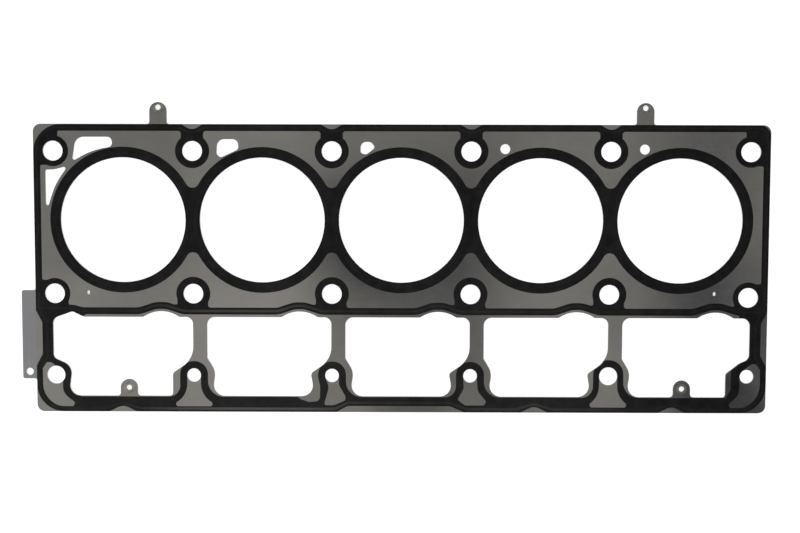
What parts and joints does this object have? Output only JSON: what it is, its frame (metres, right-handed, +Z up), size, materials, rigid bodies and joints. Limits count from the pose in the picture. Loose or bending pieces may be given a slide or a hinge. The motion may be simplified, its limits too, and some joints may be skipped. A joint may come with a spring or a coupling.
{
  "type": "multi-layer steel cylinder head gasket",
  "caption": "Flat layered steel gasket with a row of large round openings, a row of windows beside it and black printed seals.",
  "frame": {"origin": "middle of the four head bolts round the middle bore, on the plane that the sheet lies on", "axes": "+X along the row of bores, away from the identification tab; +Y across the sheet, towards the two top tabs; +Z up through the stack, towards the cylinder head"},
  "size_m": [0.5273, 0.2191, 0.0017],
  "materials": {
    "spring_steel": "rolled spring steel, matt grey-brown, coated",
    "core_steel": "zinc-coated steel sheet, bluish grey",
    "stopper_steel": "bare rolled steel",
    "black_elastomer": "screen-printed elastomer, satin black",
    "plated_steel": "plated, satin"
  },
  "bodies": {
    "root": {"upper_bead_layer": "spring_steel", "lower_bead_layer": "spring_steel", "core_layer": "core_steel", "upper_bore_seal": "black_elastomer", "upper_perimeter_seal": "black_elastomer", "lower_bore_seal": "black_elastomer", "lower_perimeter_seal": "black_elastomer", "clinch_eyelets": "plated_steel", "stopper_ring_1": "stopper_steel", "stopper_ring_2": "stopper_steel", "stopper_ring_3": "stopper_steel", "stopper_ring_4": "stopper_steel", "stopper_ring_5": "stopper_steel"}
  },
  "joints": []
}
